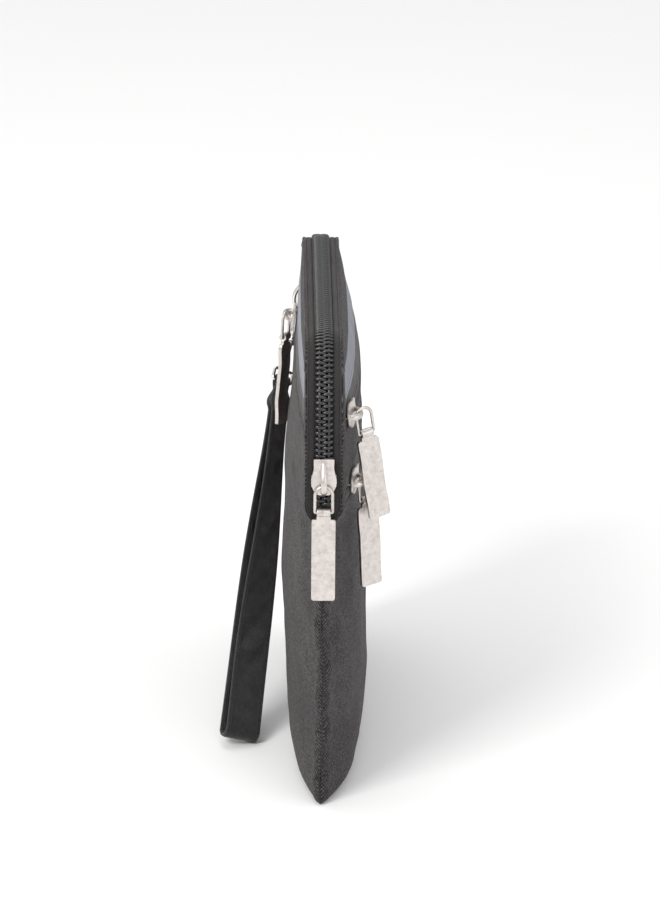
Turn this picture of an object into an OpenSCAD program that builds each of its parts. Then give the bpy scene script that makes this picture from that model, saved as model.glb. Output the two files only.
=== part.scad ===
// Slim zippered wristlet pouch: two soft panels, a main zip that runs round the top,
// three pocket zips, and a wrist strap on a swivel clasp.
// X runs across the width, the front face looks along -Y, Z is up, and the origin is
// on the ground under the middle of the pouch.

/* [Pouch] */
// Width between the two side seams
pouch_w = 144; // [138:1:150]
// Height from the base to the top edge
pouch_h = 153; // [150:1:156]
// Radius of the two top corners
corner_r = 27; // [25:1:29]
// Radius of the two bottom corners
foot_r = 2.5; // [1:0.5:4]
// Width of the gusset that carries the main zip
gusset_w = 10; // [9.6:0.1:10.4]
// Thickness of the outer cloth with its backing
cloth = 0.8; // [0.7:0.05:0.9]

/* [Zips] */
// Height at which the main zip ends on the sides
zip_end_z = 104.5; // [102:0.5:106]
// Height of the opening of the two upper pocket zips
upper_zip_z = 131; // [129:0.5:133]
// Height of the lower front pocket zip
lower_zip_z = 107; // [105:0.5:109]
// Visible width of the lower pocket zip
pocket_zip_w = 8; // [7.6:0.1:8.4]
// Width of the light band above the opening of an upper pocket zip
band_w = 13.5; // [12.5:0.5:14]
// Share of the pouch's width that the pocket zips span
zip_reach = 0.93; // [0.9:0.01:0.95]
// Full width of the closed coil chain
chain_w = 5.7; // [5.4:0.1:6]
// Thickness of the zip tape
tape = 0.6; // [0.5:0.05:0.65]

/* [Pulls] */
// Length of a slider
slider_len = 12; // [11:0.5:12.5]
// Width of a slider at its shoulders
slider_w = 8; // [7.8:0.1:8.2]
// Length of a pull tab below its neck
tab_len = 27.5; // [22:0.5:30]
// Width of a pull tab
tab_w = 7.5; // [7:0.1:8]
// Thickness of a pull tab
tab_t = 1.2; // [1:0.1:1.4]

/* [Wrist strap] */
// Width of the strap
strap_w = 12; // [10:0.5:13]
// Thickness of one strap layer
strap_t = 1.1; // [0.9:0.1:1.2]
// Gap between the two layers at the bottom fold
strap_gap = 4.6; // [4:0.1:5]
// Mean radius of the hanging ring
ring_r = 6.7; // [6.5:0.1:6.9]
// Radius of the ring's wire
ring_wire = 0.85; // [0.8:0.05:0.9]

/* [Hidden] */
$fn = 48;

FRONT = -1;
BACK = 1;
half_w = pouch_w / 2;
corner_x = half_w - corner_r;
corner_z = pouch_h - corner_r;
gusset_half = gusset_w / 2;
seam_half = gusset_half + cloth;
side_half = 0.9;
seam_gap = 0.05;
base_lap = 0.6;
chain_half = chain_w / 2;
chain_slit = 0.5;
// Each pocket zip as [height of its opening, reach above it, reach below it]
LOWER_ZIP = [lower_zip_z, pocket_zip_w / 2, pocket_zip_w / 2];
UPPER_ZIP = [upper_zip_z, band_w, 2.5];
function zip_top(zip) = zip[0] + zip[1];
function zip_low(zip) = zip[0] - zip[2];
fade_z = zip_end_z - 11.5;

// Half-thickness of the filled pouch at mid width: height, back, front
STATIONS = [
    [0, 7.5, 11], [8, 9.4, 13.2], [20, 10.9, 14.9], [40, 12, 15.5], [75, 12.1, 14.4],
    [108, 10.4, 13.1], [130, 8.4, 12.2], [143, 7, 8.7], [pouch_h, 5.9, 6.1]
];

function clamp01(t) = min(1, max(0, t));
function ease(t) = t * t * (3 - 2 * t);
function ramp(a, b, v) = ease(clamp01((v - a) / (b - a)));

// Half-width of the outline at height z, with round corners
function half_width(z) =
    z > corner_z ? corner_x + sqrt(max(0, corner_r * corner_r - pow(z - corner_z, 2)))
    : z < foot_r ? half_w - foot_r + sqrt(max(0, foot_r * foot_r - pow(foot_r - z, 2)))
    : half_w;

// Slope of the thickness curve at station i, and the smooth curve through the stations
function station_slope(i, k) =
    let (a = max(0, i - 1), b = min(len(STATIONS) - 1, i + 1))
    (STATIONS[b][k] - STATIONS[a][k]) / (STATIONS[b][0] - STATIONS[a][0]);
function station_below(z, i = 0) =
    (i >= len(STATIONS) - 2 || z < STATIONS[i + 1][0]) ? i : station_below(z, i + 1);
function thickness(side, z) =
    let (
        k = side == BACK ? 1 : 2,
        i = station_below(z),
        h = STATIONS[i + 1][0] - STATIONS[i][0],
        t = (z - STATIONS[i][0]) / h,
        a = STATIONS[i][k],
        b = STATIONS[i + 1][k]
    )
    a + (b - a) * ease(t)
    + h * (t * pow(1 - t, 2) * station_slope(i, k) - t * t * (1 - t) * station_slope(i + 1, k));

// Half-thickness at the outline: a thin seam low down, the zip gusset higher up
function edge_half(z) = side_half + (seam_half - side_half) * ramp(fade_z, zip_end_z - 1, z);
// The base and the lower body are fuller towards their sides than the zipped part
function fullness(z) = 2.5 + 0.3 * (1 - ramp(75, 100, z)) + 2.2 * (1 - ramp(0, 26, z));
function face(side, x, z) =
    let (e = edge_half(z), u = clamp01(abs(x) / half_width(z)))
    e + (thickness(side, z) - e) * (1 - pow(u, fullness(z)));

// A point of the face, set in by depth; fold pulls the lowest rows in to the base,
// where the front cloth laps just past the middle
function skin_point(side, u, z, depth, fold = 1) =
    let (meet = fold > 0 ? seam_gap : side == FRONT ? -base_lap : base_lap + seam_gap)
    [u * half_width(z),
     side * max(meet, fold * (face(side, u * half_width(z), z) - depth)),
     z];

// Triangles of a slab: an outer grid of rows x cols points and then an inner one
function slab_faces(rows, cols, flip) =
    let (
        n = rows * cols,
        quads = concat(
            [for (r = [0 : rows - 2], c = [0 : cols - 2])
                [r * cols + c, r * cols + c + 1, (r + 1) * cols + c + 1, (r + 1) * cols + c]],
            [for (r = [0 : rows - 2], c = [0 : cols - 2])
                [n + r * cols + c, n + (r + 1) * cols + c,
                 n + (r + 1) * cols + c + 1, n + r * cols + c + 1]],
            [for (c = [0 : cols - 2]) [c, n + c, n + c + 1, c + 1]],
            [for (c = [0 : cols - 2], k = (rows - 1) * cols)
                [k + c, k + c + 1, n + k + c + 1, n + k + c]],
            [for (r = [0 : rows - 2], k = r * cols) [k, k + cols, n + k + cols, n + k]],
            [for (r = [0 : rows - 2], k = r * cols + cols - 1)
                [k, n + k, n + k + cols, k + cols]]
        )
    )
    [for (q = quads, t = [[q[0], q[1], q[2]], [q[0], q[2], q[3]]]) flip ? [t[2], t[1], t[0]] : t];

// Rows of a slab are [height, fold]; it spans start to reach, as shares of the half-width
module skin(side, rows, from_depth, to_depth, cols = 16, reach = 1, start = undef) {
    u0 = is_undef(start) ? -reach : start;
    us = [for (c = [0 : cols]) u0 + (reach - u0) * c / cols];
    outer = [for (r = rows, u = us) skin_point(side, u, r[0], from_depth, r[1])];
    inner = [for (r = rows, u = us)
        skin_point(side, u, max(r[0], to_depth), to_depth, r[1])];
    polyhedron(
        points = concat(outer, inner),
        faces = slab_faces(len(rows), cols + 1, side == BACK),
        convexity = 6
    );
}

function even_rows(z0, z1, n) = [for (i = [0 : n]) [z0 + (z1 - z0) * i / n, 1]];

BASE_ROWS = [[0, 0], [0, 0.8], [1.6, 0.93], [4.5, 1]];

module main_panel(side, top_z) {
    rows = concat(
        BASE_ROWS,
        even_rows(9, fade_z, 7),
        even_rows(fade_z + 3, min(top_z, zip_end_z), 4),
        top_z > zip_end_z ? even_rows(zip_end_z + 4, top_z, 3) : []
    );
    skin(side, rows, 0, cloth);
}

// Cloth beside the two ends of a pocket zip, which laps the panel below it
module zip_ends(side, zip) {
    for (span = [[-1, -zip_reach], [zip_reach, 1]])
        skin(side, even_rows(zip_low(zip) - 0.3, zip_top(zip), 6), 0, cloth, 1, span[1], span[0]);
}

module front_top_panel() {
    color("#4b4647") skin(FRONT, even_rows(zip_top(UPPER_ZIP), pouch_h, 5), 0, cloth);
}
module front_middle_panel() {
    color("#4b4647") {
        skin(FRONT, even_rows(zip_top(LOWER_ZIP), zip_low(UPPER_ZIP), 5), 0, cloth);
        zip_ends(FRONT, UPPER_ZIP);
    }
}
module front_main_panel() {
    color("#4b4647") {
        main_panel(FRONT, zip_low(LOWER_ZIP));
        zip_ends(FRONT, LOWER_ZIP);
    }
}
module back_top_panel() {
    color("#434041") skin(BACK, even_rows(zip_top(UPPER_ZIP), pouch_h, 5), 0, cloth);
}
module back_main_panel() {
    color("#434041") {
        main_panel(BACK, zip_low(UPPER_ZIP));
        zip_ends(BACK, UPPER_ZIP);
    }
}

// Linings and pocket bags hang inside, clear of the sliders' inner plates
lining_t = 0.4;
lining_reach = 0.72;
bag_t = 0.3;
module inner_cloth(side, low_z, top_z, depth, thick) {
    skin(side, even_rows(low_z, top_z, 8), depth, depth + thick, 10, lining_reach);
}
module front_lining() { color("dimgray") inner_cloth(FRONT, 14, 126, 5, lining_t); }
module back_lining() { color("dimgray") inner_cloth(BACK, 14, 126, 4.7, lining_t); }
module front_upper_pocket_bag() { color("gray") inner_cloth(FRONT, 42, 132, 4.3, bag_t); }
module front_lower_pocket_bag() { color("gray") inner_cloth(FRONT, 16, 100, 3.6, bag_t); }
module back_pocket_bag() { color("gray") inner_cloth(BACK, 24, 132, 3.7, bag_t); }

// Band that follows the outline: thickness runs inwards from depth, y from y0 to y1
module top_arc(depth, thick, y0, y1) {
    for (m = [0, 1]) mirror([m, 0, 0])
        translate([corner_x, y1, corner_z]) rotate([90, 0, 0])
            rotate_extrude(angle = 90)
                translate([corner_r - depth - thick, 0]) square([thick, y1 - y0]);
    translate([-corner_x, y0, pouch_h - depth - thick])
        cube([2 * corner_x, y1 - y0, thick]);
}
module side_run(side_x, low_z, depth, thick, y0, y1) {
    x0 = side_x < 0 ? -half_w + depth : half_w - depth - thick;
    translate([x0, y0, low_z]) cube([thick, y1 - y0, corner_z - low_z]);
}
// Where the gusset narrows into the side seam below the zip
module gusset_tail(side_x, side) {
    steps = 8;
    low_z = fade_z + 1.5;
    heights = [for (i = [0 : steps]) low_z + (zip_end_z - low_z) * i / steps];
    outline = concat(
        [[seam_gap, zip_end_z], [seam_gap, low_z]],
        [for (z = heights) [min(gusset_half, edge_half(z) - cloth - 0.04), z]]
    );
    x0 = side_x < 0 ? -half_w : half_w - tape;
    translate([x0, 0, 0]) rotate([90, 0, 90])
        linear_extrude(tape) polygon([for (p = outline) [side * p[0], p[1]]]);
}

module main_tape(side) {
    y0 = side == FRONT ? -gusset_half : chain_half;
    y1 = side == FRONT ? -chain_half : gusset_half;
    color("#3a3536") {
        top_arc(0, tape, y0, y1);
        side_run(-1, zip_end_z, 0, tape, y0, y1);
        gusset_tail(-1, side);
        gusset_tail(1, side);
    }
}
module main_coil(side) {
    y0 = side == FRONT ? -chain_half : chain_slit;
    y1 = side == FRONT ? -chain_slit : chain_half;
    color("#151314") {
        top_arc(-chain_rise, chain_rise + chain_sink, y0, y1);
        side_run(-1, zip_end_z, -chain_rise, chain_rise + chain_sink, y0, y1);
    }
}
chain_rise = 0.9;
chain_sink = 1.2;
module main_zip_front_tape() { main_tape(FRONT); }
module main_zip_back_tape() { main_tape(BACK); }
module main_zip_front_coil() { main_coil(FRONT); }
module main_zip_back_coil() { main_coil(BACK); }
// Plain cloth gusset on the side away from the slider
module far_gusset() {
    color("#4b4647")
        translate([half_w - tape, -gusset_half, zip_end_z])
            cube([tape, gusset_w, corner_z - zip_end_z]);
}

// Pocket zips: two tape lips that meet at the opening, with the coil behind them
slit_half = 0.5;
tape_reach = zip_reach - 0.004;
module pocket_tape(side, zip) {
    skin(side, even_rows(zip[0] + slit_half, zip_top(zip), 2), 0.1, 0.1 + tape, 16, tape_reach);
    skin(side, even_rows(zip_low(zip), zip[0] - slit_half, 1), 0.1, 0.1 + tape, 16, tape_reach);
}
module pocket_coil(side, zip) {
    z = zip[0];
    skin(side, even_rows(z + slit_half, z + chain_half, 1), 0.82, 2.2, 16, 0.9);
    skin(side, even_rows(z - chain_half, z - slit_half, 1), 0.82, 2.2, 16, 0.9);
}
module front_upper_zip_tape() { color("#858c98") pocket_tape(FRONT, UPPER_ZIP); }
module front_upper_zip_coil() { color("#5c6470") pocket_coil(FRONT, UPPER_ZIP); }
module front_lower_zip_tape() { color("#2a2829") pocket_tape(FRONT, LOWER_ZIP); }
module front_lower_zip_coil() { color("#1b1a1b") pocket_coil(FRONT, LOWER_ZIP); }
module back_zip_tape() { color("#858c98") pocket_tape(BACK, UPPER_ZIP); }
module back_zip_coil() { color("#5c6470") pocket_coil(BACK, UPPER_ZIP); }

// Slider parts, drawn with its tail up Z, its width along X and its outside along -Y
plate_t = 0.9;
bridge_r = 2.85;
bridge_wire = 0.7;
loop_wire = 0.5;
bridge_up = -1.8;
module plate_outline() {
    heel = slider_w * 0.8;
    translate([-heel / 2, 0]) square([heel, slider_len / 2]);
    intersection() {
        circle(r = slider_len * 0.62);
        translate([-slider_w / 2, -slider_len / 2]) square([slider_w, slider_len * 0.72]);
    }
}
module plate(out) {
    translate([0, -out, 0]) rotate([90, 0, 0]) linear_extrude(plate_t) plate_outline();
}
// above and below are how far the coil reaches outside and inside the tape's middle
module slider(above, below) {
    lip_x = slider_w / 2 - 0.55;
    outer = above + 0.3;
    inner = below + 0.3;
    lip_gap = 0.5;
    color("#d8d2cc") {
        plate(outer);
        plate(-inner - plate_t);
        translate([-0.25, -outer - 0.05, -slider_len / 2 + 0.6])
            cube([0.5, outer + inner + 0.1, 2.4]);
        for (s = [-1, 1]) translate([s > 0 ? lip_x : -slider_w / 2, 0, -slider_len * 0.35]) {
            if (outer > tape / 2 + lip_gap + 0.2)
                translate([0, -outer - 0.05, 0])
                    cube([0.55, outer - tape / 2 - lip_gap, slider_len * 0.5]);
            translate([0, tape / 2 + lip_gap, 0])
                cube([0.55, inner - tape / 2 - lip_gap + 0.05, slider_len * 0.5]);
        }
        translate([0, -outer - plate_t + 0.1, bridge_up]) rotate([0, -90, 180])
            rotate_extrude(angle = 180) translate([bridge_r, 0]) circle(r = bridge_wire);
    }
}
// Distance from the tape's middle to the slot under the bridge
function slot_out(above) = above + 0.3 + plate_t + 1;
main_above = chain_rise + tape / 2;
main_below = chain_sink - tape / 2;
pocket_above = tape / 2 + 0.3;
pocket_below = 2;

// Pull loop: its top wire is at the origin and it hangs down Z in the XZ plane
loop_r = 2.75;
loop_drop = 8.6;
module pull_loop() {
    color("#d8d2cc") {
        translate([0, 0, -loop_r]) rotate([90, 0, 0])
            rotate_extrude(angle = 180) translate([loop_r, 0]) circle(r = loop_wire);
        for (s = [-1, 1]) translate([s * loop_r, 0, -loop_drop]) {
            cylinder(r = loop_wire, h = loop_drop - loop_r);
            sphere(r = loop_wire);
        }
        translate([-loop_r, 0, -loop_drop]) rotate([0, 90, 0])
            cylinder(r = loop_wire, h = 2 * loop_r);
    }
}
// Pull tab: its eye is at the origin and its blade hangs down Z in the XZ plane
neck_w = 4.2;
neck_drop = 2.2;
eye_r = 1.35;
eye_bore = 0.65;
tab_corner = 0.9;
module pull_tab() {
    color("#d8d2cc") difference() {
        union() {
            translate([-neck_w / 2, 0, 0]) rotate([0, 90, 0]) cylinder(r = eye_r, h = neck_w);
            translate([-neck_w / 2, -tab_t / 2, -neck_drop]) cube([neck_w, tab_t, neck_drop]);
            translate([0, tab_t / 2, -neck_drop - tab_len]) rotate([90, 0, 0]) linear_extrude(tab_t) {
                for (sx = [-1, 1], z = [tab_corner, tab_len - tab_corner])
                    translate([sx * (tab_w / 2 - tab_corner), z]) circle(r = tab_corner);
                translate([-tab_w / 2 + tab_corner, 0]) square([tab_w - 2 * tab_corner, tab_len]);
                translate([-tab_w / 2, tab_corner]) square([tab_w, tab_len - 2 * tab_corner]);
            }
        }
        translate([-neck_w, 0, 0]) rotate([0, 90, 0]) cylinder(r = eye_bore, h = 2 * neck_w);
    }
}

// Main zip: the slider stands on the near side with its tail up
main_slider_z = 114.5;
main_x = -half_w + tape / 2;
module at_main_slider() {
    translate([main_x, 0, main_slider_z]) rotate([0, 0, -90]) children();
}
main_pivot = [main_x - slot_out(main_above), 0, main_slider_z + bridge_up - 1];
module main_slider() { at_main_slider() slider(main_above, main_below); }
module main_pull_loop() { translate(main_pivot) rotate([0, 0, 90]) pull_loop(); }
module main_pull_tab() {
    translate(main_pivot - [0, 0, loop_drop]) rotate([0, 0, 90]) pull_tab();
}

// Pocket zips: where each slider stands, and how its pull hangs
// Each is [side, x, z, lean of the pull in degrees, turn of the pull about Z in degrees]
UPPER = [FRONT, -60.5, upper_zip_z, 10, 28];
LOWER = [FRONT, -56, lower_zip_z, 4, 32];
REAR = [BACK, 31, upper_zip_z, 7, 66];

tape_mid = 0.1 + tape / 2;
function on_face(p) = face(p[0], p[1], p[2]) - tape_mid;
function face_turn(p) =
    p[0] * atan((face(p[0], p[1] + 1, p[2]) - face(p[0], p[1] - 1, p[2])) / 2);
function face_tilt(p) =
    atan((face(p[0], p[1], p[2] + 1) - face(p[0], p[1], p[2] - 1)) / 2);

// A slider keeps one tilt for its whole run, between that of its place and of the middle
function slider_tilt(p) = 0.35 * face_tilt(p) + 0.65 * face_tilt([p[0], 0, p[2]]);

// Puts children, drawn with -Y outwards and Z up, square on the face at p
module at_face(p) {
    translate([p[1], p[0] * on_face(p), p[2]])
        rotate([0, 0, face_turn(p) + (p[0] == BACK ? 180 : 0)])
            rotate([slider_tilt(p), 0, 0]) children();
}
module pocket_slider(p) {
    at_face(p) rotate([0, 90, 0]) slider(pocket_above, pocket_below);
}
// The pull hangs by one leg of its loop, which passes through the slot under the bridge
hang_up = 1.7;
bridge_shift = 1.8;
function out_dir(p) = [sin(face_turn(p)), -cos(face_turn(p)), 0] * (p[0] == BACK ? -1 : 1);
function along_dir(p) = [cos(face_turn(p)), sin(face_turn(p)), 0] * (p[0] == BACK ? -1 : 1);
function pocket_pivot(p) =
    [p[1], p[0] * on_face(p), p[2]]
    + out_dir(p) * slot_out(pocket_above) - along_dir(p) * bridge_shift;
// Children are drawn with the slot at the origin and the pull reaching out along -Y
module at_pocket_pivot(p) {
    translate(pocket_pivot(p)) rotate([0, 0, (p[0] == BACK ? 180 : 0) + p[4]])
        rotate([-p[3], 0, 0]) children();
}
module pocket_pull_loop(p) {
    at_pocket_pivot(p) translate([0, -loop_r, hang_up]) rotate([0, 0, 90]) pull_loop();
}
module pocket_pull_tab(p) {
    at_pocket_pivot(p) translate([0, -loop_r, hang_up - loop_drop]) rotate([0, 0, 90]) pull_tab();
}
module front_upper_slider() { pocket_slider(UPPER); }
module front_upper_pull_loop() { pocket_pull_loop(UPPER); }
module front_upper_pull_tab() { pocket_pull_tab(UPPER); }
module front_lower_slider() { pocket_slider(LOWER); }
module front_lower_pull_loop() { pocket_pull_loop(LOWER); }
module front_lower_pull_tab() { pocket_pull_tab(LOWER); }
module back_slider() { pocket_slider(REAR); }
module back_pull_loop() { pocket_pull_loop(REAR); }
module back_pull_tab() { pocket_pull_tab(REAR); }

// Ring, tab and clasp on the side away from the slider
ring_c = [half_w + 5, 1.8, 121.1];
ring_tab_w = 5;
ring_tab_t = 0.65;
ring_tab_bore = 1.45;
ring_tab_top = 137.2;
module ring_tab() {
    wire_z = ring_c[2] + ring_r;
    x = ring_c[0];
    outer = ring_tab_bore + ring_tab_t;
    color("#2a2829")
        translate([0, ring_c[1] + ring_tab_w / 2, 0]) rotate([90, 0, 0])
            linear_extrude(ring_tab_w) difference() {
                union() {
                    translate([x, wire_z]) circle(r = outer);
                    polygon([[x - outer + 0.02, wire_z - 0.2], [x + outer - 0.02, wire_z - 0.2],
                             [x + outer - 0.02, wire_z], [x - 5.3, ring_tab_top],
                             [x - 6.9, ring_tab_top], [x - outer + 0.02, wire_z]]);
                }
                translate([x, wire_z]) circle(r = ring_tab_bore);
                polygon([[x - ring_tab_bore + 0.02, wire_z - 0.2],
                         [x + ring_tab_bore - 0.02, wire_z - 0.2],
                         [x + ring_tab_bore - 0.02, wire_z], [x - 5.2, ring_tab_top - 1.4],
                         [x - 5.5, ring_tab_top - 1.4], [x - ring_tab_bore + 0.02, wire_z]]);
            }
}
module hanging_ring() {
    color("#c9c4be") translate(ring_c) rotate([0, 90, 0])
        rotate_extrude() translate([ring_r, 0]) circle(r = ring_wire);
}

// The clasp hangs from the lower back of the ring and points at the strap's top
hook_angle = 40;
hook_c = ring_c + ring_r * [0, cos(hook_angle), -sin(hook_angle)];
wire_dir = [0, sin(hook_angle), cos(hook_angle)];
strap_top = [half_w - 15, 13.2, 97];
strap_low = [-25.5, 26.8, 2.1];
clasp_len = norm(strap_top - hook_c);
clasp_dir = (strap_top - hook_c) / clasp_len;
function unit(v) = v / norm(v);
clasp_side = unit(cross(clasp_dir, cross(wire_dir, clasp_dir)));
clasp_flat = cross(clasp_side, clasp_dir);

// Places children by three unit axes and an origin
module frame(x, y, z, o) {
    multmatrix([[x[0], y[0], z[0], o[0]],
                [x[1], y[1], z[1], o[1]],
                [x[2], y[2], z[2], o[2]]]) children();
}
// Clasp parts are drawn with the ring's wire along Y at the origin and the clasp down -Z
module at_clasp() {
    frame(clasp_flat, unit(cross(-clasp_dir, clasp_flat)), -clasp_dir, hook_c) children();
}
hook_r = 2.1;
hook_wire = 0.65;
hook_drop = 9;
hook_sit = 0.15;
hook_nose = 1.2;
barrel_r = 1.9;
barrel_h = 3.4;
barrel_low = -hook_drop - 3;
stem_r = 0.65;
module clasp_hook() {
    color("#c9c4be") at_clasp() {
        translate([0, 0, -hook_sit]) rotate([90, 0, 0]) rotate_extrude(angle = 180)
            translate([hook_r, 0]) circle(r = hook_wire);
        translate([-hook_r, 0, -hook_drop - 1]) cylinder(r = hook_wire, h = hook_drop + 1 - hook_sit);
        translate([-hook_r, 0, -hook_drop - 1]) sphere(r = hook_wire);
        translate([hook_r, 0, -hook_sit - hook_nose]) {
            cylinder(r = hook_wire, h = hook_nose);
            sphere(r = hook_wire);
        }
        translate([0, 0, barrel_low]) difference() {
            cylinder(r = barrel_r, h = barrel_h);
            translate([0, 0, -1]) cylinder(r = stem_r + 0.1, h = barrel_h + 2);
        }
        // Ears either side of the gate's eye
        for (s = [-1, 1])
            translate([hook_r - 0.9, s > 0 ? gate_eye_r + 0.12 : -gate_eye_r - 0.62, gate_low - 1.2])
                cube([1.4, 0.5, 1.8]);
    }
}
// The gate closes the hook between the nose and the barrel
gate_r = 0.5;
gate_eye_r = 0.7;
gate_low = barrel_low + barrel_h + gate_eye_r + 0.15;
gate_top = -hook_sit - hook_nose - hook_wire - 0.2;
module clasp_gate() {
    color("#d8d2cc") at_clasp() translate([hook_r, 0, gate_low]) {
        cylinder(r = gate_r, h = gate_top - gate_low);
        translate([0, gate_eye_r, 0]) rotate([90, 0, 0]) cylinder(r = gate_eye_r, h = 2 * gate_eye_r);
        translate([gate_r, 0, 2.6]) sphere(r = 0.6);
    }
}

// The strap's line, and the swivel's eye turned to suit it
strap_eye_r = 1.1;
eye_drop = clasp_len - strap_eye_r - 0.5;
eye_c = hook_c + clasp_dir * eye_drop;
strap_len = norm(strap_low - eye_c);
strap_dir = (strap_low - eye_c) / strap_len;
width_hint = [-0.2, 0.892, 0.405];
strap_across = unit(width_hint - strap_dir * (width_hint * strap_dir));
strap_normal = cross(strap_dir, strap_across);
eye_bar = unit(strap_across - clasp_dir * (strap_across * clasp_dir));
eye_h = 4.2;
eye_half = 3.4;
eye_wire = 0.6;
module clasp_swivel() {
    neck_z = -eye_drop + eye_h;
    head_z = barrel_low + barrel_h + 0.1;
    color("#c9c4be") frame(cross(eye_bar, -clasp_dir), eye_bar, -clasp_dir, hook_c) {
        translate([0, 0, neck_z]) cylinder(r = stem_r, h = head_z - neck_z + 0.3);
        translate([0, 0, head_z]) cylinder(r = 1.1, h = 0.6);
        translate([0, 0, barrel_low - 0.9]) cylinder(r = 1.2, h = 0.7);
        translate([0, 0, neck_z]) sphere(r = 1.1);
        for (s = [-1, 1]) translate([0, s * eye_half, -eye_drop]) {
            cylinder(r = eye_wire, h = eye_h);
            sphere(r = eye_wire);
            translate([0, 0, eye_h]) sphere(r = eye_wire);
        }
        for (z = [-eye_drop, neck_z])
            translate([0, eye_half, z]) rotate([90, 0, 0]) cylinder(r = eye_wire, h = 2 * eye_half);
    }
}

// The strap is one webbing folded into a loop, sewn together below the swivel's eye
sewn_from = 3.4;
sewn_to = 15;
throat_w = 5.1;
shoulder = 7;
// A solid loop, top_half wide at its top, that widens to a round fold at the bottom
module strap_solid(top_z, top_half, fold_r, w) {
    fold_z = -strap_len + strap_gap / 2 + strap_t;
    translate([0, 0, (strap_w - w) / 2]) {
        linear_extrude(w) polygon([
            [-top_half, top_z], [top_half, top_z], [top_half, -sewn_to],
            [fold_r - 0.05, fold_z - 0.3], [-fold_r + 0.05, fold_z - 0.3],
            [-top_half, -sewn_to]]);
        translate([0, fold_z, 0]) cylinder(r = fold_r, h = w);
    }
}
module wrist_strap() {
    cut = (strap_w - throat_w) / 2;
    color("#1c1c1e") frame(strap_normal, -strap_dir, strap_across, eye_c)
        translate([0, 0, -strap_w / 2]) difference() {
            union() {
                cylinder(r = strap_eye_r + strap_t, h = strap_w);
                strap_solid(-strap_eye_r - 0.4, strap_t + 0.1, strap_gap / 2 + strap_t, strap_w);
            }
            translate([0, 0, -1]) cylinder(r = strap_eye_r, h = strap_w + 2);
            strap_solid(-sewn_to + 0.2, 0.1, strap_gap / 2, strap_w + 2);
            // The webbing gathers to pass through the eye
            for (m = [0, 1]) translate([0, 0, m * strap_w]) mirror([0, 0, m])
                translate([-4, -sewn_from - shoulder, -1]) rotate([0, 90, 0])
                    linear_extrude(8) polygon([
                        [1, 0], [-cut - 1, shoulder], [-cut - 1, shoulder + 8], [1, shoulder + 8]]);
        }
}

front_top_panel();
front_middle_panel();
front_main_panel();
back_top_panel();
back_main_panel();
far_gusset();
front_lining();
back_lining();
front_upper_pocket_bag();
front_lower_pocket_bag();
back_pocket_bag();
main_zip_front_tape();
main_zip_back_tape();
main_zip_front_coil();
main_zip_back_coil();
front_upper_zip_tape();
front_upper_zip_coil();
front_lower_zip_tape();
front_lower_zip_coil();
back_zip_tape();
back_zip_coil();
main_slider();
main_pull_loop();
main_pull_tab();
front_upper_slider();
front_upper_pull_loop();
front_upper_pull_tab();
front_lower_slider();
front_lower_pull_loop();
front_lower_pull_tab();
back_slider();
back_pull_loop();
back_pull_tab();
ring_tab();
hanging_ring();
clasp_hook();
clasp_gate();
clasp_swivel();
wrist_strap();
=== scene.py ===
"""Slim zippered wristlet pouch, standing on its base, seen from its narrow side."""

import math

import bmesh
import bpy
import numpy as np
from mathutils import Matrix, Vector


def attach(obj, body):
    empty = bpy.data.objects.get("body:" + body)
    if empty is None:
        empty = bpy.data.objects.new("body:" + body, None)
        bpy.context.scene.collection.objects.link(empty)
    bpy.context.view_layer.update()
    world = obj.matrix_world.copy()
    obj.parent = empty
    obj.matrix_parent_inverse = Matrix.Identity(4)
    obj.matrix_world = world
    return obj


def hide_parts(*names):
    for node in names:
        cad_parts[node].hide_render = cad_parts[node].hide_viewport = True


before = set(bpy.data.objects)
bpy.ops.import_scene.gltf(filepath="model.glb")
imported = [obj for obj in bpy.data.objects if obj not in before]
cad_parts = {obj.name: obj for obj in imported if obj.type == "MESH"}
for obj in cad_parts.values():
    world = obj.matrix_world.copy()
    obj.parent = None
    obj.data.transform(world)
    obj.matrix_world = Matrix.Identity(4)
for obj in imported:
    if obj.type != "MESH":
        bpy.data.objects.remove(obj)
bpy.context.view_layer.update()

# ---------------------------------------------------------------- sizes, in mm, as in the CAD
MM = 0.001
FRONT, BACK = -1, 1
POUCH_H, CORNER_R, FOOT_R = 153.0, 27.0, 2.5
HALF_W = 72.0
CORNER_X, CORNER_Z = HALF_W - CORNER_R, POUCH_H - CORNER_R
CLOTH, TAPE = 0.8, 0.6
GUSSET_HALF, SIDE_HALF = 5.0, 0.9
SEAM_HALF = GUSSET_HALF + CLOTH
ZIP_END, FADE = 104.5, 93.0
# Each pocket zip: height of its opening, reach above it, reach below it
UPPER_ZIP, LOWER_ZIP = (131.0, 13.5, 2.5), (107.0, 4.0, 4.0)
ZIP_REACH = 0.93
CHAIN_HALF, CHAIN_RISE, CHAIN_SINK = 2.85, 0.9, 1.2
STATIONS = np.array([
    [0, 7.5, 11], [8, 9.4, 13.2], [20, 10.9, 14.9], [40, 12, 15.5], [75, 12.1, 14.4],
    [108, 10.4, 13.1], [130, 8.4, 12.2], [143, 7, 8.7], [POUCH_H, 5.9, 6.1]])
TAB_LEN, TAB_W, TAB_T = 27.5, 7.5, 1.2
LOOP_R, LOOP_DROP, LOOP_WIRE = 2.75, 8.6, 0.5
PLATE_T, BRIDGE_UP = 0.9, -1.8


def ramp(a, b, v):
    t = np.clip((np.asarray(v, float) - a) / (b - a), 0, 1)
    return t * t * (3 - 2 * t)


def half_width(z):
    z = np.asarray(z, float)
    top = CORNER_X + np.sqrt(np.maximum(0, CORNER_R**2 - np.maximum(0, z - CORNER_Z) ** 2))
    foot = HALF_W - FOOT_R + np.sqrt(np.maximum(0, FOOT_R**2 - np.maximum(0, FOOT_R - z) ** 2))
    return np.minimum(top, foot)


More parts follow.
